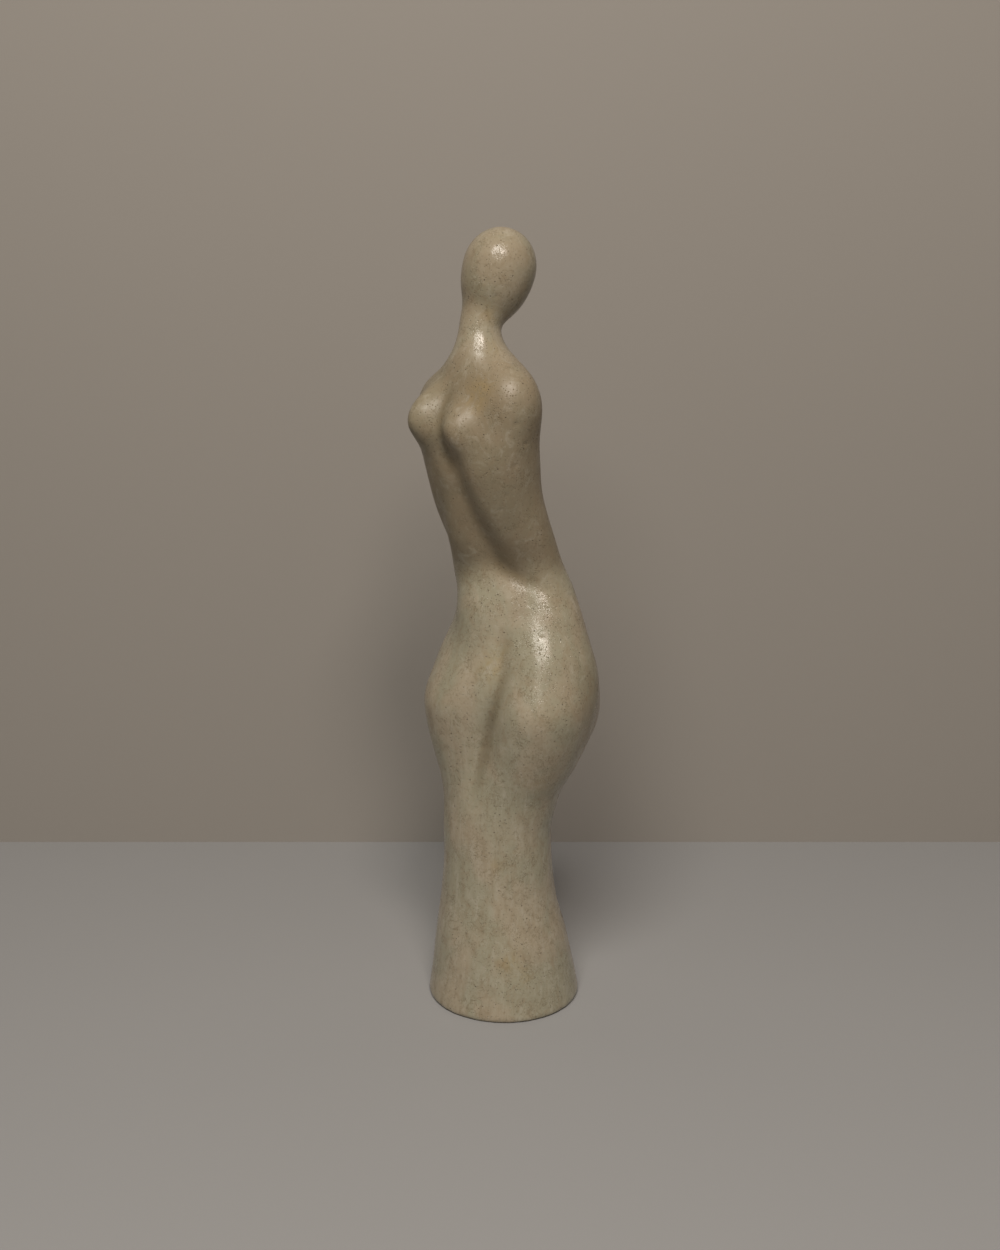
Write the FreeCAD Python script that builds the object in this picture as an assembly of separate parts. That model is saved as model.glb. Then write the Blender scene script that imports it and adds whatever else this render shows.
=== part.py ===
"""A standing woman carved from one block of soapstone, smoothed into a few long curves.

Row frame: millimetres, +Z up, the hips face -Y, and +X is the figure's own left. The origin is the
centre of the flat underside of the foot. A turn is an angle about +Z, counted from -Y towards +X.

The figure is made of tubes and eggs melted together, with furrows pressed into the result. It is cut into
horizontal slices. In each slice, rays run out from the midline and stop at the skin. The slices are
the control rows of one B-spline surface, which ends in a point at the crown and in the flat of the foot.
"""

import FreeCAD, Part
import math
import os
from collections import namedtuple

# ---------------------------------------------------------------- overall sizes
HEIGHT = 300.0
FOOT_ARRIS = 1.2  # radius of the worn edge round the foot

# ---------------------------------------------------------------- the slices
RAYS = 72
STACKED_FACES = 12
SLICE_STEP = 2.0
CROWN_FROM = 284.0  # above this height the slices crowd together towards the crown
CROWN_SLICES = 12
OUTSIDE = 60.0  # a ray is clear of the figure this far from its start
SKIN_TOLERANCE = 0.004

# ---------------------------------------------------------------- the midline
# It climbs through the middle of the body: height, x, y, and the turn of the body's front.
MIDLINE = [(0, 0.0, 0.0, 0), (60, -2.2, -0.4, 0), (85, -0.5, 1.2, -2), (100, 1.0, 2.2, -3), (122, 2.5, 3.5, -3),
           (140, 3.0, 3.8, -2), (158, 0.0, 2.8, -4), (172, -4.8, 0.6, -8), (188, -6.0, -2.9, -11),
           (204, -6.4, -7.2, -13), (222, -5.0, -10.0, -15), (241, -4.8, -9.4, -16), (252, -5.6, -7.8, -8),
           (262, -6.1, -7.1, 20), (272, -3.0, -5.0, 70), (284, 0.0, -3.8, 110), (300, 2.4, -3.0, 120)]

# The stations of the upper body stand plumb. Its forms are then carried this far, by height, along one
# turn: back at the waist, forward at the ribs and back again at the head, so the figure stands in a soft S.
CARRY_TURN = 30
CARRY = [(146, 0.0), (160, -1.5), (172, -2.5), (184, 0.0), (196, 1.8), (208, 1.4), (224, -0.8), (240, -1.2),
         (252, 0.5), (262, 1.0), (272, -1.0), (284, -3.0), (300, -3.0)]

# ---------------------------------------------------------------- tubes
# A station is one level of a tube: its height, its centre, half its width from side to side, half its
# depth from front to back, and the turn of its front. The fillet melts the tube into its neighbours.
Station = namedtuple("Station", "z x y width depth turn")
Tube = namedtuple("Tube", "name fillet stations")

PELVIS_AND_LEGS = Tube("pelvis_and_legs", 4.0, [
    Station(0, 0.0, 0.0, 30.6, 30.2, 0),
    Station(10, -0.2, 0.0, 28.9, 28.4, 0),
    Station(25, -1.0, -0.2, 26.5, 26.0, 0),
    Station(42, -2.2, -0.5, 23.2, 22.6, 0),
    Station(58, -2.4, -0.5, 21.7, 21.2, 0),
    Station(72, -2.6, -0.3, 21.6, 21.0, 0),
    Station(85, -1.8, 0.8, 22.6, 21.4, 5),
    Station(100, 0.6, 2.4, 27.8, 22.4, 5),
    Station(116, 1.8, 3.8, 32.2, 24.0, 5),
    Station(130, 3.0, 4.2, 33.4, 24.8, 4),
    Station(142, 3.6, 4.6, 30.8, 21.6, 2),
    Station(152, 3.8, 5.2, 26.0, 17.6, 0),
    Station(162, 3.4, 5.4, 21.2, 12.8, -2),
    Station(169, 3.0, 5.0, 15.5, 9.6, -4),
    Station(175, 2.6, 5.0, 10.0, 6.4, -4),
    Station(181, 2.6, 5.0, 1.0, 1.0, -4),
])

TORSO = Tube("torso", 6.0, [
    Station(138, 2.0, 4.0, 10.0, 8.0, -2),
    Station(152, -0.6, 3.6, 13.0, 10.0, -4),
    Station(160, -3.4, 2.0, 15.0, 11.6, -5),
    Station(167, -4.6, 1.1, 15.7, 12.3, -7),
    Station(175, -6.0, -0.2, 16.4, 12.5, -9),
    Station(188, -7.1, -3.5, 16.8, 13.2, -11),
    Station(204, -7.0, -7.4, 19.4, 14.6, -13),
    Station(218, -5.8, -10.4, 22.5, 16.6, -15),
    Station(230, -5.3, -10.2, 25.0, 16.6, -16),
    Station(238, -5.2, -9.8, 23.6, 15.6, -16),
    Station(245, -4.9, -8.6, 19.6, 14.2, -14),
    Station(251, -4.4, -7.4, 15.6, 12.8, -8),
    Station(257, -5.6, -7.2, 10.0, 10.2, 0),
    Station(263, -6.1, -7.1, 7.8, 7.8, 0),
    Station(270, -5.4, -6.6, 7.5, 7.5, 0),
    Station(278, -3.6, -5.2, 5.0, 5.0, 0),
    Station(282, -3.4, -5.0, 1.0, 1.0, 0),
])

LEFT_FLANK = Tube("left_flank", 5.0, [
    Station(136, 17.0, 8.6, 5.0, 5.0, 0),
    Station(144, 17.0, 8.6, 11.0, 11.0, 0),
    Station(154, 16.0, 7.7, 12.4, 12.4, 0),
    Station(166, 14.2, 7.0, 11.2, 11.2, 0),
    Station(176, 10.6, 5.4, 10.8, 10.8, 0),
    Station(188, 6.6, 2.0, 12.2, 12.2, 0),
    Station(204, 4.0, -3.6, 12.8, 12.8, 0),
    Station(222, 6.2, -9.3, 12.0, 12.0, 0),
    Station(240, 9.0, -12.0, 7.0, 7.0, 0),
    Station(250, 0.0, -9.0, 1.0, 1.0, 0),
])

RIGHT_FLANK = Tube("right_flank", 7.0, [
    Station(136, -9.0, 10.0, 5.0, 5.0, 0),
    Station(144, -9.0, 10.0, 11.0, 11.0, 0),
    Station(154, -8.2, 9.6, 11.7, 11.7, 0),
    Station(166, -9.0, 8.4, 9.4, 9.4, 0),
    Station(176, -10.6, 7.2, 9.4, 9.4, 0),
    Station(188, -12.4, 5.0, 10.0, 10.0, 0),
    Station(204, -12.6, 1.6, 11.4, 11.4, 0),
    Station(222, -15.0, -2.6, 11.2, 11.2, 0),
    Station(240, -17.0, -4.6, 7.0, 7.0, 0),
    Station(250, -10.0, -7.0, 1.0, 1.0, 0),
])

LEFT_THIGH = Tube("left_thigh", 6.0, [
    Station(64, 4.0, 0.0, 4.0, 4.0, 0),
    Station(76, 5.0, 0.0, 12.4, 12.4, 0),
    Station(88, 7.8, -0.6, 14.4, 14.4, 0),
    Station(100, 12.2, -1.4, 17.0, 17.0, 0),
    Station(112, 15.4, -2.6, 18.8, 18.8, 0),
    Station(124, 16.7, -3.1, 19.4, 19.4, 0),
    Station(138, 15.5, 0.8, 16.7, 16.7, 0),
    Station(150, 14.2, 3.8, 12.4, 12.4, 0),
    Station(160, 13.6, 5.4, 6.0, 6.0, 0),
])

# ---------------------------------------------------------------- eggs
# An egg has a centre, half-widths to its side, front, top and bottom, the turn of its front, an angle
# that its top leans by and the turn it leans towards, and a fillet.
Egg = namedtuple("Egg", "name x y z side front up down turn lean lean_turn fillet")

HEAD = Egg("head", 0.3, -3.8, 284.5, 12.9, 13.4, 14.6, 21.0, 120, 16, 120, 3.0)
LEFT_SHOULDER = Egg("left_shoulder", 12.0, -14.4, 240.5, 9.2, 9.2, 10.0, 10.0, 0, 0, 0, 8.0)
RIGHT_SHOULDER = Egg("right_shoulder", -21.6, -4.6, 238.0, 9.2, 9.2, 9.0, 10.0, 0, 0, 0, 8.0)
LEFT_BREAST = Egg("left_breast", -3.6, -23.2, 228.5, 7.2, 9.2, 9.0, 7.5, -14, 0, 0, 6.5)
RIGHT_BREAST = Egg("right_breast", -16.8, -18.0, 230.5, 7.2, 14.2, 12.0, 9.0, -20, 10, 160, 8.0)
BELLY = Egg("belly", -4.6, -2.5, 155.0, 12.2, 12.2, 19.0, 22.0, 0, 0, 0, 7.0)
LEFT_BUTTOCK = Egg("left_buttock", 15.4, 16.6, 118.5, 15.5, 13.5, 18.0, 18.0, 30, 0, 0, 8.0)

# The right thigh and buttock mirror the left ones in the midline.

# ---------------------------------------------------------------- furrows
# Each point of a furrow is a height, a turn from the body's front, the half-widths of its two sides
# along the skin, towards lower and higher turns, and its depth.
Furrow = namedtuple("Furrow", "name points")

BETWEEN_THIGHS = Furrow("between_thighs", [(82, -3, 3, 5, 0.0), (97, -1, 2.5, 6, 1.8), (111, 4.5, 2.5, 7, 3.6),
                                           (125, 12, 2.8, 8, 4.2), (139, 20, 3.5, 8, 3.0), (156, 27, 5, 8, 0.0)])
LEFT_SIDE = Furrow("left_side", [(160, 92, 6, 3, 0.0), (168, 86, 7, 3, 0.9), (173, 78, 8, 3, 2.2),
                                 (178, 65, 9, 3, 3.3), (185, 51, 10, 3.5, 3.8), (195, 35, 10, 4, 3.6),
                                 (209, 19, 9, 4.5, 3.2), (220, 12, 8, 4, 2.2), (230, 8, 6, 4, 0.0)])
RIGHT_SIDE = Furrow("right_side", [(164, -90, 3, 5, 0.0), (178, -72, 4, 6, 2.0), (195, -50, 4, 6, 1.8),
                                   (209, -30, 5, 6, 1.0), (222, -24, 6, 6, 0.0)])
CLEAVAGE = Furrow("cleavage", [(210, 0, 3, 3, 0.0), (222, 0, 3, 3, 1.4), (233, 0, 3, 3, 1.8), (246, 0, 3, 3, 0.0)])
SPINE = Furrow("spine", [(146, 180, 5, 5, 0.0), (165, 180, 5, 5, 2.0), (200, 180, 6, 6, 2.0), (232, 180, 6, 6, 1.4),
                         (250, 180, 5, 5, 0.0)])
CLEFT = Furrow("cleft", [(86, 180, 5, 5, 0.0), (98, 180, 4, 4, 2.4), (112, 180, 4, 4, 4.8), (128, 180, 4, 4, 3.5),
                         (144, 180, 4, 4, 0.0)])


def hermite(knots, values, at):
    """The value at a place on a smooth curve through values at rising knots."""
    if at <= knots[0]:
        return values[0]
    if at >= knots[-1]:
        return values[-1]
    i = max(k for k in range(len(knots) - 1) if knots[k] <= at)

    def slope(k):
        if k == 0:
            return (values[1] - values[0]) / (knots[1] - knots[0])
        if k == len(knots) - 1:
            return (values[k] - values[k - 1]) / (knots[k] - knots[k - 1])
        before, after = knots[k] - knots[k - 1], knots[k + 1] - knots[k]
        rise_before = (values[k] - values[k - 1]) / before
        rise_after = (values[k + 1] - values[k]) / after
        return (rise_before * after + rise_after * before) / (before + after)

    span = knots[i + 1] - knots[i]
    t = (at - knots[i]) / span
    start = values[i] * (1 + 2 * t) * (1 - t) ** 2 + slope(i) * span * t * (1 - t) ** 2
    end = values[i + 1] * (3 - 2 * t) * t * t - slope(i + 1) * span * (1 - t) * t * t
    return start + end


def along(points, z):
    """A row of numbers at height z on smooth curves through points, whose first number is their height."""
    heights = [p[0] for p in points]
    return [hermite(heights, [p[k] for p in points], z) for k in range(1, len(points[0]))]


def smooth_union(a, b, fillet):
    """The nearer of two skins, with the corner between them filled."""
    overlap = max(fillet - abs(a - b), 0.0) / fillet
    return min(a, b) - overlap * overlap * fillet / 4


def to_local(x, y, turn):
    """x and y as (to the side, to the front) of something that faces turn."""
    c, s = math.cos(math.radians(turn)), math.sin(math.radians(turn))
    return x * c + y * s, x * s - y * c


def to_frame(side, front, turn):
    """The opposite of to_local."""
    c, s = math.cos(math.radians(turn)), math.sin(math.radians(turn))
    return side * c + front * s, side * s - front * c


def mirrored_place(x, y, z):
    """x and y of a point's mirror image in the midline, and the midline's turn there."""
    mx, my, turn = along(MIDLINE, z)
    side, front = to_local(x - mx, y - my, turn)
    dx, dy = to_frame(-side, front, turn)
    return mx + dx, my + dy, turn


def mirrored_tube(tube, name):
    stations = []
    for s in tube.stations:
        x, y, turn = mirrored_place(s.x, s.y, s.z)
        stations.append(s._replace(x=x, y=y, turn=2 * turn - s.turn))
    return tube._replace(name=name, stations=stations)


def mirrored_egg(egg, name):
    x, y, turn = mirrored_place(egg.x, egg.y, egg.z)
    return egg._replace(name=name, x=x, y=y, turn=2 * turn - egg.turn, lean_turn=2 * turn - egg.lean_turn)


def carry(x, y, z):
    """Where a place on the plumb upper body is carried to."""
    dx, dy = to_frame(0, along(CARRY, z)[0], CARRY_TURN)
    return x + dx, y + dy


def carried_tube(tube):
    stations = []
    for s in tube.stations:
        x, y = carry(s.x, s.y, s.z)
        stations.append(s._replace(x=x, y=y))
    return tube._replace(stations=stations)


def carried_egg(egg):
    x, y = carry(egg.x, egg.y, egg.z)
    return egg._replace(x=x, y=y)


def tube_distance(level, x, y):
    """How far a point is outside a tube's ellipse, near its edge."""
    cx, cy, width, depth, turn = level
    side, front = to_local(x - cx, y - cy, turn)
    reach = math.hypot(side / width, front / depth)
    steepness = math.hypot(side / width**2, front / depth**2)
    return -min(width, depth) if steepness < 1e-9 else reach * (reach - 1) / steepness


def egg_axes(egg):
    """The egg's side, front and top directions."""
    side = FreeCAD.Vector(*to_frame(1, 0, egg.turn), 0)
    front = FreeCAD.Vector(*to_frame(0, 1, egg.turn), 0)
    hinge = FreeCAD.Vector(*to_frame(1, 0, egg.lean_turn), 0)
    lean = FreeCAD.Rotation(hinge, egg.lean)
    return [lean.multVec(side), lean.multVec(front), lean.multVec(FreeCAD.Vector(0, 0, 1))]


def egg_distance(egg, axes, x, y, z):
    """How far a point is outside an egg, near its skin."""
    out = FreeCAD.Vector(x - egg.x, y - egg.y, z - egg.z)
    place = [out.dot(axis) for axis in axes]
    radii = (egg.side, egg.front, egg.up if place[2] > 0 else egg.down)
    reach = math.sqrt(sum((p / r) ** 2 for p, r in zip(place, radii)))
    steepness = math.sqrt(sum((p / r**2) ** 2 for p, r in zip(place, radii)))
    return -min(radii) if steepness < 1e-9 else reach * (reach - 1) / steepness


def egg_top(egg):
    """The highest point of an egg."""
    axes = egg_axes(egg)
    radii = (egg.side, egg.front, egg.up)
    rise = math.sqrt(sum((axis.z * r) ** 2 for axis, r in zip(axes, radii)))
    top = FreeCAD.Vector(egg.x, egg.y, egg.z)
    for axis, r in zip(axes, radii):
        top += axis * (axis.z * r * r / rise)
    return top


# ---------------------------------------------------------------- the whole figure
HEAD = HEAD._replace(z=HEAD.z + HEIGHT - egg_top(HEAD).z)
TUBES = [PELVIS_AND_LEGS, carried_tube(TORSO), LEFT_THIGH, mirrored_tube(LEFT_THIGH, "right_thigh"),
         carried_tube(LEFT_FLANK), carried_tube(RIGHT_FLANK)]
UPPER_EGGS = [LEFT_SHOULDER, RIGHT_SHOULDER, LEFT_BREAST, RIGHT_BREAST, HEAD]
LOWER_EGGS = [BELLY, LEFT_BUTTOCK, mirrored_egg(LEFT_BUTTOCK, "right_buttock")]
EGGS = LOWER_EGGS + [carried_egg(egg) for egg in UPPER_EGGS]
EGG_AXES = {egg.name: egg_axes(egg) for egg in EGGS}
FURROWS = [BETWEEN_THIGHS, LEFT_SIDE, RIGHT_SIDE, CLEAVAGE, SPINE, CLEFT]


def forms_at(z):
    """The ellipses of the tubes at height z, each with its fillet, and the eggs close to that height."""
    levels = [(along(t.stations, z), t.fillet) for t in TUBES if t.stations[0].z <= z <= t.stations[-1].z]
    eggs = [e for e in EGGS if abs(z - e.z) < max(e.side, e.front, e.up, e.down) + e.fillet]
    return levels, eggs


def figure_distance(x, y, z, levels, eggs):
    """How far a point is outside the melted forms, negative inside."""
    d = OUTSIDE
    for level, fillet in levels:
        d = smooth_union(d, tube_distance(level, x, y), fillet)
    for egg in eggs:
        d = smooth_union(d, egg_distance(egg, EGG_AXES[egg.name], x, y, z), egg.fillet)
    return d


def furrow_depth(furrow, z, turn, reach):
    """How deep a furrow is at a height, a turn from the body's front, and a distance from the midline."""
    if not furrow.points[0][0] < z < furrow.points[-1][0]:
        return 0.0
    middle, low_side, high_side, depth = along(furrow.points, z)
    away = math.radians((turn - middle + 180) % 360 - 180) * reach
    half_width = low_side if away < 0 else high_side
    return max(depth, 0.0) * math.exp(-((away / half_width) ** 2))


def skin_reach(x0, y0, z, turn, levels, eggs):
    """How far from (x0, y0) the skin is, along a ray in a slice."""
    ex, ey = to_frame(0, 1, turn)
    outside = OUTSIDE
    inside = outside
    while True:
        d = figure_distance(x0 + ex * inside, y0 + ey * inside, z, levels, eggs)
        if d < 0:
            break
        outside = inside
        inside -= max(0.7 * d, 0.4)
    while outside - inside > SKIN_TOLERANCE:
        middle = (inside + outside) / 2
        if figure_distance(x0 + ex * middle, y0 + ey * middle, z, levels, eggs) < 0:
            inside = middle
        else:
            outside = middle
    return (inside + outside) / 2


def slice_points(z):
    """The skin's points round one slice."""
    plumb_x, plumb_y, front_turn = along(MIDLINE, z)
    x0, y0 = carry(plumb_x, plumb_y, z)
    levels, eggs = forms_at(z)
    rounding = FOOT_ARRIS - math.sqrt(FOOT_ARRIS**2 - max(0.0, FOOT_ARRIS - z) ** 2)
    points = []
    for k in range(RAYS):
        turn = 360.0 * k / RAYS
        reach = skin_reach(x0, y0, z, turn, levels, eggs)
        reach -= rounding + sum(furrow_depth(f, z, turn - front_turn, reach) for f in FURROWS)
        dx, dy = to_frame(0, reach, turn)
        points.append(FreeCAD.Vector(x0 + dx, y0 + dy, z))
    return points


def slice_heights():
    """Heights of the slices: crowded round the foot's edge, even up the body, crowded at the crown."""
    edge = [FOOT_ARRIS * (1 - math.cos(math.radians(a))) for a in (0, 30, 60, 90)]
    body = [SLICE_STEP * k for k in range(1, int(CROWN_FROM / SLICE_STEP) + 1)]
    rise = HEIGHT - body[-1]
    crown = [body[-1] + rise * math.sin(math.pi / 2 * k / CROWN_SLICES) for k in range(1, CROWN_SLICES)]
    return edge + body + crown


def crown_rows(last_row):
    """The rows that close the skin: a small level ring, then the crown's single point."""
    top = egg_top(EGGS[-1])
    ring = [FreeCAD.Vector(top.x + (p.x - top.x) / 2, top.y + (p.y - top.y) / 2, HEIGHT) for p in last_row]
    return [ring, [top] * RAYS]


def skin_surface(rows):
    """A cubic B-spline surface, closed round the figure, with the slices as its control rows."""
    up = len(rows)
    poles = [[row[k] for row in rows] for k in range(RAYS)]
    surface = Part.BSplineSurface()
    surface.buildFromPolesMultsKnots(poles, [1] * (RAYS + 1), [4] + [1] * (up - 4) + [4],
                                     list(range(RAYS + 1)), list(range(up - 2)), True, False, 3, 3)
    return surface


def stacked_faces(surface):
    """The skin as a stack of short faces, one above the other."""
    start, end, low, high = surface.bounds()
    cuts = [low + round((high - low) * k / STACKED_FACES) for k in range(STACKED_FACES + 1)]
    return [surface.toShape(start, end, below, above) for below, above in zip(cuts, cuts[1:])]


def carved_figure():
    rows = [slice_points(z) for z in slice_heights()]
    skin = stacked_faces(skin_surface(rows + crown_rows(rows[-1])))
    rim = min((edge for face in skin for edge in face.Edges), key=lambda edge: edge.BoundBox.ZMax)
    flat = Part.Face(Part.Wire([rim]))
    shell = Part.Shell(skin + [flat])
    shell.sewShape()
    solid = Part.Solid(shell)
    if solid.Volume < 0:
        solid.reverse()
    return solid


def main():
    os.makedirs("parts", exist_ok=True)
    figure = carved_figure()
    box = figure.BoundBox
    print("carved_figure valid", figure.isValid(), "solids", len(figure.Solids), "volume", round(figure.Volume),
          "box", [round(v, 2) for v in (box.XMin, box.XMax, box.YMin, box.YMax, box.ZMin, box.ZMax)])
    figure.exportStep("parts/carved_figure.step")


main()
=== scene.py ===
"""Looks for the carved soapstone figure: its worked surface, the stone, a plain floor and studio light."""

import math
import random

import bmesh
import bpy
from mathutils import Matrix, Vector, noise
from mathutils.bvhtree import BVHTree
from mathutils.kdtree import KDTree

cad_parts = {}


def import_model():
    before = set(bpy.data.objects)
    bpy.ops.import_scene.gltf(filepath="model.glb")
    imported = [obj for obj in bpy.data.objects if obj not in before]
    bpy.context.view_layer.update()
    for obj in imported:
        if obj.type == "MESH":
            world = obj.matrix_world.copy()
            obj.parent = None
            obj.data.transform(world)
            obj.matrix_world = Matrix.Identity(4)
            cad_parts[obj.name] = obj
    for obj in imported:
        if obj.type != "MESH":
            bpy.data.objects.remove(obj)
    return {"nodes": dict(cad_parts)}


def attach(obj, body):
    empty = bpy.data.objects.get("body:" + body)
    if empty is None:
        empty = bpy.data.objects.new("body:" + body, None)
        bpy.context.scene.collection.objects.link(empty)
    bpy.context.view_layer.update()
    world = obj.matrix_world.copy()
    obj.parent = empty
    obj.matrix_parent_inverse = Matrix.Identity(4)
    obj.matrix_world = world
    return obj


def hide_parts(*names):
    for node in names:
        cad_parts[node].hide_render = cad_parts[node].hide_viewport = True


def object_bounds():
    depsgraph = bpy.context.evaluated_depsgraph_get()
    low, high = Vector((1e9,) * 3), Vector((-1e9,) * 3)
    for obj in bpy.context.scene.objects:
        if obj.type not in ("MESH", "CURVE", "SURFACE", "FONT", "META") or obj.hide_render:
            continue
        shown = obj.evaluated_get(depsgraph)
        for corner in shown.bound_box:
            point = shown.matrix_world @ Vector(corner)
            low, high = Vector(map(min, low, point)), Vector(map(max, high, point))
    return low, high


MM = 0.001

# The even mesh
WELD = 0.002 * MM
VOXEL = 0.83 * MM
SMOOTHING = 0.5  # strength of one smoothing step
SMOOTHING_STEPS = 8
HOLLOW_STEPS = 90
HOLLOW_DEPTH = 0.55 * MM  # a place that heavy smoothing fills by this much counts as fully hollow

# The carver's surface
WOBBLE = 0.16 * MM  # slow hand-made unevenness
WOBBLE_LENGTH = 14.0 * MM
FACET = 0.09 * MM  # long vertical tool facets on the legs and hips
FACET_WIDTH = 3.2 * MM
FACET_LENGTH = 34.0 * MM
FACETS_FULL = 110.0 * MM  # facets are at full strength up to here
FACETS_END = 160.0 * MM  # and have faded out by here
FOOT_LEVEL = 0.05 * MM  # everything lower belongs to the flat foot
FOOT_FADE = 2.0 * MM  # the working fades out over this height above the foot
SLICE = 3.0 * MM  # rays are aimed at the middles of slices this thick
OUTSIDE = 200.0 * MM  # rays start this far from the middle
MARK_REACH = 2.2  # a mark is dropped beyond this many radii

# Nicks: height, turn about +Z from -Y towards +X (degrees), radius, depth (mm)
NICKS = [(232.3, 66, 0.9, 0.35), (224.9, 76, 0.8, 0.30), (217.0, 64, 0.8, 0.30), (206.0, 52, 0.6, 0.22),
         (238.0, 58, 0.6, 0.22), (247.0, 40, 0.6, 0.20), (228.0, 92, 0.7, 0.25), (199.0, 40, 0.6, 0.22),
         (281.0, 12, 0.7, 0.25), (285.5, 24, 0.6, 0.22), (276.0, 30, 0.6, 0.20), (152.0, 55, 0.6, 0.22),
         (126.0, 8, 0.8, 0.28), (109.0, -2, 0.7, 0.30), (36.0, 30, 0.7, 0.25), (60.0, 60, 0.6, 0.22)]
RANDOM_NICKS = 150
RANDOM_NICK_HEIGHTS = (0.02, 0.97)  # as a share of the figure's height
RANDOM_NICK_RADII = (0.45, 0.75)  # mm
RANDOM_NICK_DEPTHS = (0.15, 0.35)  # as a share of the radius
SEED = 11

# Ochre stains: height, turn, radius (mm), strength
STAINS = [(244.0, 30, 5.0, 0.8), (238.0, 26, 3.5, 0.6), (258.0, 60, 3.0, 0.5), (140.0, 2, 4.5, 0.8),
          (146.0, 10, 3.0, 0.5), (270.0, 30, 3.5, 0.5), (24.0, 36, 4.0, 0.7), (18.0, 48, 3.0, 0.6),
          (62.0, 26, 3.0, 0.5), (96.0, 60, 4.5, 0.35), (210.0, 150, 5.0, 0.6), (120.0, 190, 6.0, 0.6),
          (170.0, 235, 4.5, 0.5), (45.0, 270, 5.0, 0.5), (230.0, -80, 4.5, 0.5), (280.0, 200, 3.5, 0.5)]

# Broad brown patches of the stone, some of them painted shade on the right hip and torso: height, turn, radius
# (mm), strength
BROWN_AND_SHADE_PATCHES = [(247.0, 18, 11.0, 0.9), (238.0, 38, 9.0, 0.6), (214.0, 0, 10.0, 0.8),
                 (198.0, -8, 12.0, 0.8), (184.0, -15, 10.0, 0.6), (134.0, 98, 19.0, 0.9),
                 (116.0, 108, 14.0, 0.6), (274.0, -30, 9.0, 0.6), (165.0, 80, 10.0, 0.4),
                 (150.0, 200, 16.0, 0.6), (60.0, 210, 14.0, 0.5)]

# The stone's colours
TAN = (0.462, 0.396, 0.288)
GREEN_GREY = (0.392, 0.373, 0.270)
CREAM = (0.57, 0.53, 0.43)
BROWN = (0.330, 0.255, 0.165)
# Colour of the painted shade on the torso, also laid on the brown patches and the head
SHADE_BROWN = (0.255, 0.196, 0.120)
# Colour of the painted shade in the hollows
HOLLOW_SHADE = (0.150, 0.115, 0.062)
VEIN = (0.220, 0.175, 0.105)
OCHRE = (0.42, 0.30, 0.12)
PIT = (0.10, 0.075, 0.045)

# Heights between which the colour changes, each from its least to its full strength
LEG_STREAKS = (140.0 * MM, 80.0 * MM)
# The torso is darkened between these heights as painted shade
TORSO_SHADE_LOW = (166.0 * MM, 182.0 * MM)
TORSO_SHADE_HIGH = (264.0 * MM, 246.0 * MM)
HEAD_DARKENING = (262.0 * MM, 275.0 * MM)

# Camera: its turn is measured like the nicks', its pitch in degrees below level
CAMERA_TURN = 30.0
CAMERA_DISTANCE = 555.8 * MM
CAMERA_HEIGHT = 295.5 * MM
CAMERA_PITCH = 14.43
CAMERA_SIDE = 1.45 * MM
FOCAL_LENGTH = 43.2  # mm, as is the sensor's height
SENSOR_HEIGHT = 36.0

# Stage
WALL_BEHIND = 152.0 * MM
STAGE_HALF_WIDTH = 450.0 * MM
FLOOR_IN_FRONT = 300.0 * MM
FLOOR_BEHIND = 450.0 * MM
WALL_HEIGHT = 2400.0 * MM
FLOOR_COLOR, FLOOR_ROUGHNESS = (0.400, 0.402, 0.405), 0.85
WALL_COLOR, WALL_ROUGHNESS = (0.380, 0.354, 0.322), 0.90

# Soft boxes: turn from the camera's, elevation (degrees), diameter (m), power (W), colour
WARM = (1.0, 0.89, 0.80)
SOFT_BOXES = {"key": (12, 46, 0.27, 3.5, WARM), "broad": (-10, 50, 0.58, 8.7, (1.0, 0.94, 0.86))}
SOFT_BOX_DISTANCE = 1.2
ROOM_LIGHT = 0.03


def direction(turn):
    """The level direction at a turn from -Y towards +X."""
    a = math.radians(turn)
    return Vector((math.sin(a), -math.cos(a), 0.0))


def clamp(value):
    """The value, kept between 0 and 1."""
    return min(1.0, max(0.0, value))


def link(name, data):
    """A new object of the scene that holds a mesh, a lamp or a lens."""
    item = bpy.data.objects.new(name, data)
    bpy.context.scene.collection.objects.link(item)
    return item


def new_material(name):
    """A new material, its node tree and its Principled shader."""
    material = bpy.data.materials.new(name)
    material.use_nodes = True
    return material, material.node_tree, material.node_tree.nodes["Principled BSDF"]


# ---------------------------------------------------------------- the carved surface
def copy_of_solid(node):
    """The CAD node's mesh as a new object, with its split vertices joined."""
    mesh = node.data.copy()
    mesh.transform(node.matrix_world)
    bm = bmesh.new()
    bm.from_mesh(mesh)
    bmesh.ops.remove_doubles(bm, verts=bm.verts, dist=WELD)
    bm.to_mesh(mesh)
    bm.free()
    mesh.materials.clear()
    return link("carved_stone", mesh)


def smoothed(piece, steps):
    """The piece's mesh after its modifiers and some steps of smoothing. Its modifiers are then removed."""
    smooth = piece.modifiers.new("smooth", "SMOOTH")
    smooth.factor = SMOOTHING
    smooth.iterations = steps
    bpy.context.view_layer.update()
    evaluated = piece.evaluated_get(bpy.context.evaluated_depsgraph_get())
    mesh = bpy.data.meshes.new_from_object(evaluated)
    piece.modifiers.clear()
    return mesh


def remesh(piece):
    """Gives the piece an even mesh that is fine enough for nicks and facets."""
    even = piece.modifiers.new("even", "REMESH")
    even.mode = "VOXEL"
    even.voxel_size = VOXEL
    even.use_smooth_shade = True
    piece.data = smoothed(piece, SMOOTHING_STEPS)


def mark_hollows(piece):
    """Notes at each vertex how far heavy smoothing would fill it in: painted shade is laid in such places."""
    mesh = piece.data
    filled = smoothed(piece, HOLLOW_STEPS)
    hollow = mesh.attributes.new("hollow", "FLOAT", "POINT").data
    for v, f in zip(mesh.vertices, filled.vertices):
        hollow[v.index].value = clamp((f.co - v.co).dot(v.normal) / HOLLOW_DEPTH)
    bpy.data.meshes.remove(filled)


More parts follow.
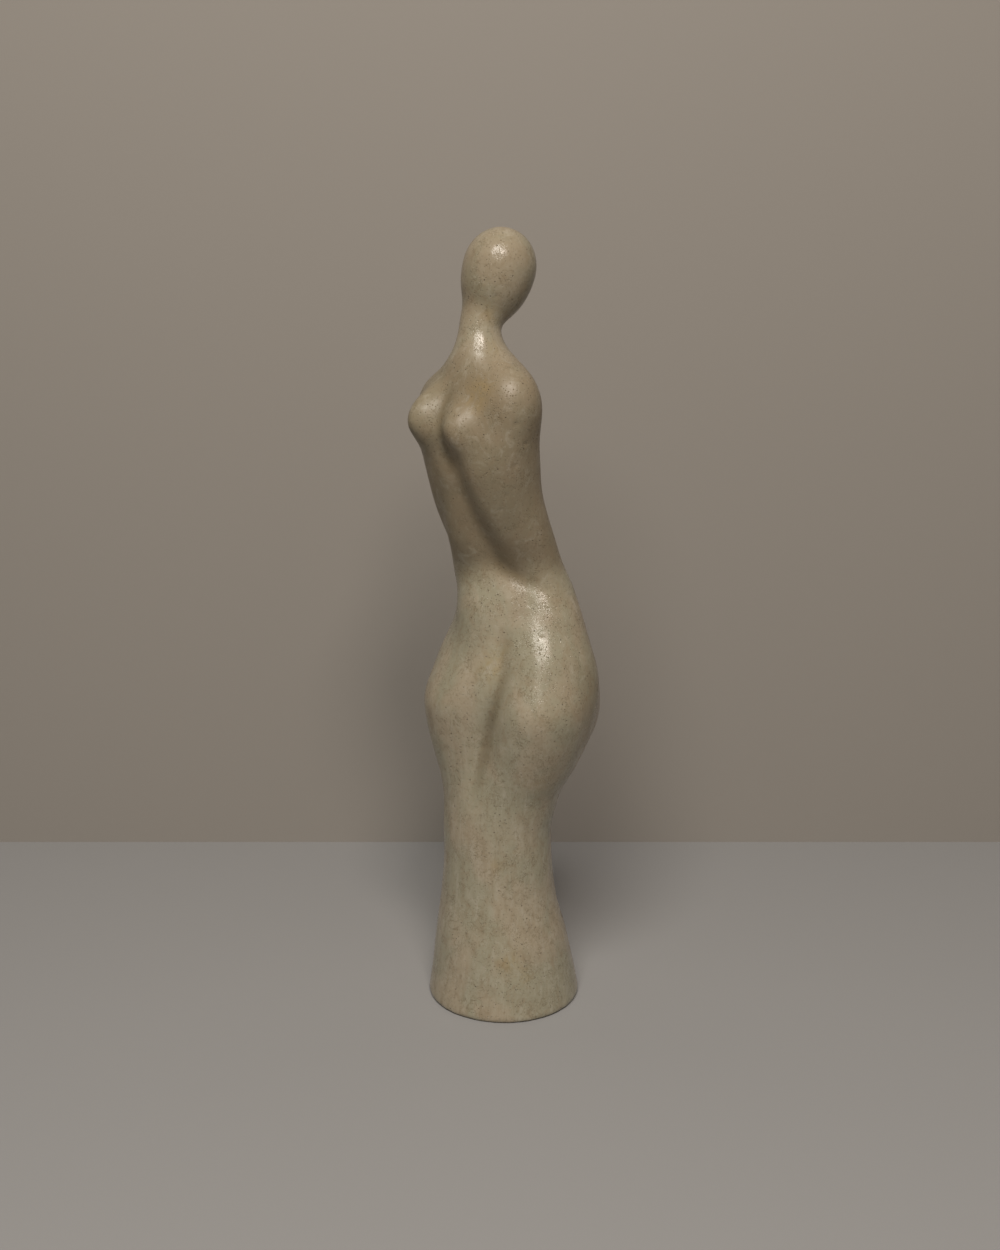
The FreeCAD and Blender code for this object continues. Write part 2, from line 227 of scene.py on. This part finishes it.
def slice_middles(mesh, top):
    """The middle of each level slice of the mesh."""
    count = int(top / SLICE) + 1
    spans = [[] for _ in range(count)]
    for v in mesh.vertices:
        spans[min(count - 1, max(0, int(v.co.z / SLICE)))].append(v.co)
    middles = []
    for points in spans:
        if points:
            xs = [p.x for p in points]
            ys = [p.y for p in points]
            middles.append(Vector(((min(xs) + max(xs)) / 2, (min(ys) + max(ys)) / 2, 0.0)))
        else:
            middles.append(middles[-1])
    return middles


def surface_point(tree, middles, height, turn):
    """Where a level ray from outside first meets the figure, aimed at the middle of the slice."""
    middle = middles[min(len(middles) - 1, int(height / SLICE))].copy()
    middle.z = height
    out = direction(turn)
    hit = tree.ray_cast(middle + out * OUTSIDE, -out)[0]
    return middle if hit is None else hit


def nick_places(tree, middles, top):
    """Centres, radii and depths of all nicks: the named ones and a seeded scatter of small ones."""
    chance = random.Random(SEED)
    places = [(surface_point(tree, middles, h * MM, t), r * MM, d * MM) for h, t, r, d in NICKS]
    for _ in range(RANDOM_NICKS):
        height = chance.uniform(*RANDOM_NICK_HEIGHTS) * top
        radius = chance.uniform(*RANDOM_NICK_RADII) * MM
        depth = radius * chance.uniform(*RANDOM_NICK_DEPTHS)
        places.append((surface_point(tree, middles, height, chance.uniform(0, 360)), radius, depth))
    return places


def nearby(near, place, radius):
    """Each vertex around a place, with a bell-shaped share that falls away from it."""
    for _, index, distance in near.find_range(place, radius * MARK_REACH):
        yield index, math.exp(-((distance / radius) ** 2))


def unevenness(place):
    """How far the slow wobble and the facets of the legs and hips raise the surface at a place."""
    slow = noise.noise(place / WOBBLE_LENGTH) * WOBBLE
    stretched = Vector((place.x / FACET_WIDTH, place.y / FACET_WIDTH, place.z / FACET_LENGTH))
    low = clamp((FACETS_END - place.z) / (FACETS_END - FACETS_FULL))
    return slow + noise.noise(stretched) * FACET * low


def work_surface(piece, top):
    """Displaces the even mesh by its unevenness and its nicks, and marks the stains and the brown patches, some
    of which are painted shade on the right hip and torso.
    """
    mesh = piece.data
    middles = slice_middles(mesh, top)
    bm = bmesh.new()
    bm.from_mesh(mesh)
    tree = BVHTree.FromBMesh(bm)
    bm.free()
    near = KDTree(len(mesh.vertices))
    for v in mesh.vertices:
        near.insert(v.co, v.index)
    near.balance()

    # The brown marks are partly the stone's patches and partly painted shade on the right hip and torso
    for name, spots in (("stain", STAINS), ("brown", BROWN_AND_SHADE_PATCHES)):
        marked = mesh.attributes.new(name, "FLOAT", "POINT").data
        for height, turn, radius, strength in spots:
            place = surface_point(tree, middles, height * MM, turn)
            for index, share in nearby(near, place, radius * MM):
                marked[index].value = clamp(marked[index].value + strength * share)

    normals = [v.normal.copy() for v in mesh.vertices]
    shift = [unevenness(v.co) for v in mesh.vertices]
    for place, radius, depth in nick_places(tree, middles, top):
        for index, share in nearby(near, place, radius):
            shift[index] -= depth * share
    for v, normal, distance in zip(mesh.vertices, normals, shift):
        v.co += normal * distance * clamp((v.co.z - FOOT_LEVEL) / FOOT_FADE)
        if v.co.z < FOOT_LEVEL:
            v.co.z = 0.0
    mesh.update()


# ---------------------------------------------------------------- the stone
class Recipe:
    """Short names for the shader nodes that the stone is mixed from."""

    def __init__(self, tree):
        self.nodes, self.links = tree.nodes, tree.links
        coordinates = self.nodes.new("ShaderNodeTexCoord")
        self.place = coordinates.outputs["Object"]
        apart = self.nodes.new("ShaderNodeSeparateXYZ")
        self.links.new(self.place, apart.inputs["Vector"])
        self.height = apart.outputs["Z"]

    def stretched(self, x, y, z):
        """The place, so that a texture of scale 1 has features x, y and z millimetres long."""
        node = self.nodes.new("ShaderNodeMapping")
        node.inputs["Scale"].default_value = (1000.0 / x, 1000.0 / y, 1000.0 / z)
        self.links.new(self.place, node.inputs["Vector"])
        return node.outputs["Vector"]

    def cloud(self, vector, detail=4.0, roughness=0.55, distortion=0.0):
        """Cloudy noise between 0 and 1."""
        node = self.nodes.new("ShaderNodeTexNoise")
        self.links.new(vector, node.inputs["Vector"])
        node.inputs["Scale"].default_value = 1.0
        node.inputs["Detail"].default_value = detail
        node.inputs["Roughness"].default_value = roughness
        node.inputs["Distortion"].default_value = distortion
        return node.outputs["Fac"]

    def dots(self, size, radius, share):
        """Soft round dots, in a share of the cells. The cells' size and the dots' radius are in millimetres."""
        node = self.nodes.new("ShaderNodeTexVoronoi")
        node.inputs["Scale"].default_value = 1.0
        self.links.new(self.stretched(size, size, size), node.inputs["Vector"])
        split = self.nodes.new("ShaderNodeSeparateColor")
        self.links.new(node.outputs["Color"], split.inputs["Color"])
        chosen = self.band(split.outputs["Red"], 1.0 - share, 1.02 - share)
        dot = self.band(node.outputs["Distance"], radius / size, 0.5 * radius / size)
        return self.maths("MULTIPLY", dot, chosen)

    def band(self, value, start, end, out_start=0.0, out_end=1.0):
        """A smooth step from out_start to out_end while the value goes from start to end."""
        node = self.nodes.new("ShaderNodeMapRange")
        node.interpolation_type = "SMOOTHSTEP"
        self.links.new(value, node.inputs["Value"])
        numbers = {"From Min": start, "From Max": end, "To Min": out_start, "To Max": out_end}
        for name, number in numbers.items():
            node.inputs[name].default_value = number
        return node.outputs["Result"]

    def maths(self, operation, a, b):
        """One operation on two values, each a number or another node's output."""
        node = self.nodes.new("ShaderNodeMath")
        node.operation = operation
        for socket, value in zip(node.inputs, (a, b)):
            if isinstance(value, (int, float)):
                socket.default_value = value
            else:
                self.links.new(value, socket)
        return node.outputs["Value"]

    def lines(self, vector, width, detail=3.0, distortion=0.6):
        """Thin wandering lines where a cloud crosses its middle value."""
        off_middle = self.maths("SUBTRACT", self.cloud(vector, detail, 0.6, distortion), 0.5)
        return self.band(self.maths("ABSOLUTE", off_middle, 0.0), width, 0.0)

    def mark(self, name):
        """A number that the mesh carries at each vertex."""
        node = self.nodes.new("ShaderNodeAttribute")
        node.attribute_name = name
        return node.outputs["Fac"]

    def tint(self, ground, color, share, amount):
        """The ground with a colour laid over it, as far as share says, times amount."""
        node = self.nodes.new("ShaderNodeMix")
        node.data_type = "RGBA"
        self.links.new(self.maths("MULTIPLY", share, amount), node.inputs["Factor"])
        first, second = [s for s in node.inputs if s.type == "RGBA"]
        self.links.new(ground, first)
        second.default_value = (*color, 1.0)
        return [s for s in node.outputs if s.type == "RGBA"][0]

    def flat(self, color):
        """One plain colour."""
        node = self.nodes.new("ShaderNodeRGB")
        node.outputs["Color"].default_value = (*color, 1.0)
        return node.outputs["Color"]


def soapstone():
    """Polished soapstone: tan and grey-green patches, upright streaks, broken veins, ochre stains, pits, and
    painted shade on the torso, the right hip and in the hollows.
    """
    material, tree, shader = new_material("polished_soapstone")
    mix = Recipe(tree)

    patches = mix.cloud(mix.stretched(17, 17, 26), 4.0, 0.55, 0.5)
    mottle = mix.cloud(mix.stretched(5.0, 5.0, 6.5), 5.0, 0.62, 0.9)
    streaks = mix.cloud(mix.stretched(2.4, 2.4, 17), 4.0, 0.6, 0.3)
    crumbs = mix.cloud(mix.stretched(1.1, 1.1, 1.3), 3.0, 0.65, 0.8)
    grain = mix.cloud(mix.stretched(0.42, 0.42, 0.5), 2.0, 0.6)

    # Broad tints: the stone's own patches, painted shade over the torso, the head darkened, and the marked
    # brown patches, some of them painted shade
    ground = mix.tint(mix.flat(TAN), GREEN_GREY, mix.band(patches, 0.38, 0.62), 0.85)
    # Painted shade: the torso between the waist and the collar is darkened
    above_waist = mix.band(mix.height, *TORSO_SHADE_LOW)
    torso_shade = mix.maths("MULTIPLY", above_waist, mix.band(mix.height, *TORSO_SHADE_HIGH))
    ground = mix.tint(ground, SHADE_BROWN, torso_shade, 0.60)
    # The head is darkened above these heights
    ground = mix.tint(ground, SHADE_BROWN, mix.band(mix.height, *HEAD_DARKENING), 0.28)
    # The brown marks are partly the stone's patches and partly painted shade on the right hip and torso
    brown_and_shade = mix.maths("MULTIPLY", mix.mark("brown"), mix.band(patches, 0.60, 0.36, 0.6, 1.0))
    ground = mix.tint(ground, SHADE_BROWN, brown_and_shade, 0.72)

    # Mottling, streaks on the legs, and crumbs
    on_legs = mix.band(mix.height, *LEG_STREAKS, 0.25, 1.0)
    ground = mix.tint(ground, BROWN, mix.band(mottle, 0.50, 0.68), 0.42)
    ground = mix.tint(ground, CREAM, mix.band(mottle, 0.48, 0.30), 0.30)
    ground = mix.tint(ground, CREAM, mix.maths("MULTIPLY", mix.band(streaks, 0.52, 0.70), on_legs), 0.30)
    ground = mix.tint(ground, BROWN, mix.maths("MULTIPLY", mix.band(streaks, 0.48, 0.32), on_legs), 0.30)
    ground = mix.tint(ground, BROWN, mix.band(crumbs, 0.53, 0.70), 0.38)
    ground = mix.tint(ground, CREAM, mix.band(crumbs, 0.44, 0.28), 0.20)

    # Broken veins and crazing
    veined = mix.band(mix.cloud(mix.stretched(9, 9, 9), 3.0), 0.48, 0.62)
    veins = mix.maths("MULTIPLY", mix.lines(mix.stretched(5.5, 5.5, 7.0), 0.020), veined)
    crazed = mix.band(mix.cloud(mix.stretched(6, 6, 8), 3.0, 0.6), 0.47, 0.62)
    crazing = mix.maths("MULTIPLY", mix.lines(mix.stretched(1.9, 1.9, 2.3), 0.034), crazed)
    ground = mix.tint(ground, VEIN, veins, 0.55)
    ground = mix.tint(ground, VEIN, crazing, 0.60)

    # Ochre stains, painted shade in the hollows, and pits
    stained = mix.maths("MULTIPLY", mix.mark("stain"), mix.band(mottle, 0.36, 0.60, 0.15, 1.0))
    ground = mix.tint(ground, OCHRE, stained, 0.48)
    # Painted shade: the hollows are darkened
    ground = mix.tint(ground, HOLLOW_SHADE, mix.mark("hollow"), 0.60)
    pits = mix.dots(1.8, 0.32, 0.26)
    pores = mix.maths("MULTIPLY", mix.dots(0.85, 0.26, 0.50), mix.band(mottle, 0.42, 0.56, 0.30, 1.0))
    ground = mix.tint(ground, PIT, pits, 0.75)
    ground = mix.tint(ground, VEIN, pores, 0.52)
    mix.links.new(ground, shader.inputs["Base Color"])

    # Polish, duller over the torso's band of painted shade and in the holes
    holes = mix.maths("MAXIMUM", pits, pores)
    dull = mix.maths("ADD", mix.band(mottle, 0.35, 0.65, 0.14, 0.20), mix.band(crumbs, 0.45, 0.70, 0.0, 0.05))
    dull = mix.maths("ADD", dull, mix.maths("MULTIPLY", torso_shade, 0.21))
    dull = mix.maths("ADD", dull, mix.maths("MULTIPLY", holes, 0.45))
    mix.links.new(dull, shader.inputs["Roughness"])
    shader.inputs["Specular IOR Level"].default_value = 0.42

    # Fine relief: holes and veins go in, grain, crumbs and streaks stand up
    relief = mix.maths("MULTIPLY", holes, -0.42)
    for texture, height in ((grain, 0.03), (crumbs, 0.06), (streaks, 0.07), (veins, -0.03), (crazing, -0.05)):
        relief = mix.maths("ADD", relief, mix.maths("MULTIPLY", texture, height))
    bump = mix.nodes.new("ShaderNodeBump")
    bump.inputs["Strength"].default_value = 0.6
    bump.inputs["Distance"].default_value = 1.0 * MM
    mix.links.new(relief, bump.inputs["Height"])
    mix.links.new(bump.outputs["Normal"], shader.inputs["Normal"])
    return material


# ---------------------------------------------------------------- stage, light, camera
def plain_surface(name, corners, color, roughness):
    """A flat painted four-sided surface of the stage; gives back its paint."""
    mesh = bpy.data.meshes.new(name)
    mesh.from_pydata([tuple(c) for c in corners], [], [(0, 1, 2, 3)])
    surface = link(name, mesh)
    material, _, shader = new_material(name + "_paint")
    shader.inputs["Base Color"].default_value = (*color, 1.0)
    shader.inputs["Roughness"].default_value = roughness
    mesh.materials.append(material)
    return material


def keep_front_only(material):
    """Leaves a surface's front as it is and clears its back, so that a view from behind sees the figure."""
    nodes, links = material.node_tree.nodes, material.node_tree.links
    side = nodes.new("ShaderNodeNewGeometry")
    clear = nodes.new("ShaderNodeBsdfTransparent")
    either = nodes.new("ShaderNodeMixShader")
    links.new(side.outputs["Backfacing"], either.inputs[0])
    links.new(nodes["Principled BSDF"].outputs["BSDF"], either.inputs[1])
    links.new(clear.outputs["BSDF"], either.inputs[2])
    links.new(either.outputs["Shader"], nodes["Material Output"].inputs["Surface"])


def build_stage():
    """A pale floor and, standing on it behind the figure, a plain wall that is clear from its back."""
    near = direction(CAMERA_TURN) * FLOOR_IN_FRONT
    far = -direction(CAMERA_TURN) * FLOOR_BEHIND
    foot = -direction(CAMERA_TURN) * WALL_BEHIND
    right = direction(CAMERA_TURN + 90.0) * STAGE_HALF_WIDTH
    up = Vector((0.0, 0.0, WALL_HEIGHT))
    floor = [near - right, near + right, far + right, far - right]
    wall = [foot - right, foot + right, foot + right + up, foot - right + up]
    plain_surface("floor", floor, FLOOR_COLOR, FLOOR_ROUGHNESS)
    keep_front_only(plain_surface("backdrop", wall, WALL_COLOR, WALL_ROUGHNESS))


def soft_box(name, target):
    """A round area light that faces the target."""
    turn, elevation, diameter, power, color = SOFT_BOXES[name]
    lamp = bpy.data.lights.new(name, "AREA")
    lamp.shape = "DISK"
    lamp.size = diameter
    lamp.energy = power
    lamp.color = color
    rise = math.radians(elevation)
    way = direction(CAMERA_TURN + turn) * math.cos(rise) + Vector((0.0, 0.0, math.sin(rise)))
    light = link(name, lamp)
    light.location = target + way * SOFT_BOX_DISTANCE
    light.rotation_euler = (-way).to_track_quat("-Z", "Y").to_euler()


def light_studio(middle):
    """Two soft boxes above the camera, the smaller to its right, and a dim room."""
    for name in SOFT_BOXES:
        soft_box(name, middle)
    world = bpy.data.worlds.new("studio")
    bpy.context.scene.world = world
    world.use_nodes = True
    room = world.node_tree.nodes["Background"]
    room.inputs["Color"].default_value = (*WARM, 1.0)
    room.inputs["Strength"].default_value = ROOM_LIGHT


def place_camera():
    """The scene's camera, looking down a little at the figure."""
    lens = bpy.data.cameras.new("camera")
    lens.sensor_fit = "VERTICAL"
    lens.sensor_height = SENSOR_HEIGHT
    lens.lens = FOCAL_LENGTH
    camera = link("camera", lens)
    camera.location = direction(CAMERA_TURN) * CAMERA_DISTANCE - direction(CAMERA_TURN + 90.0) * CAMERA_SIDE
    camera.location.z = CAMERA_HEIGHT
    camera.rotation_euler = (math.radians(90.0 - CAMERA_PITCH), 0.0, math.radians(CAMERA_TURN))
    bpy.context.scene.camera = camera


def main():
    """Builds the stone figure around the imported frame, then its stage, lights and camera."""
    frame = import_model()
    cad_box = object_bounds()
    low, high = (Vector(corner) for corner in cad_box)

    piece = copy_of_solid(frame["nodes"]["carved_figure"])
    remesh(piece)
    mark_hollows(piece)
    work_surface(piece, high.z)
    piece.data.materials.append(soapstone())
    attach(piece, "root")
    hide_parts("carved_figure")

    build_stage()
    light_studio((low + high) / 2)
    place_camera()
    bpy.context.scene.view_settings.view_transform = "Standard"


main()
